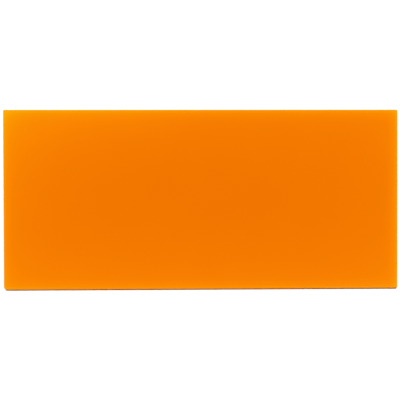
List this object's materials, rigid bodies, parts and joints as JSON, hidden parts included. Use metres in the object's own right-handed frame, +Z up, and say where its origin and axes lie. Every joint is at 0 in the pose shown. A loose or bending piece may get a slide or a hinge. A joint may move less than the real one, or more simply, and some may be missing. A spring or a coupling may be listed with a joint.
{
  "type": "rectangular plastic plate",
  "caption": "Flat rectangular plate of translucent orange plastic with square-cut, lightly eased edges; it lies flat and gives straight edges to rule, align or cut from.",
  "frame": {"origin": "middle of the underside", "axes": "+X along the length, +Y across the width towards the rear edge, +Z up through the thickness and out of the top face"},
  "size_m": [0.22, 0.1, 0.003],
  "materials": {
    "orange_plastic": "smooth satin-gloss translucent orange, brighter yellow-orange towards the cut edges"
  },
  "bodies": {
    "root": {"plate": "orange_plastic"}
  },
  "joints": []
}
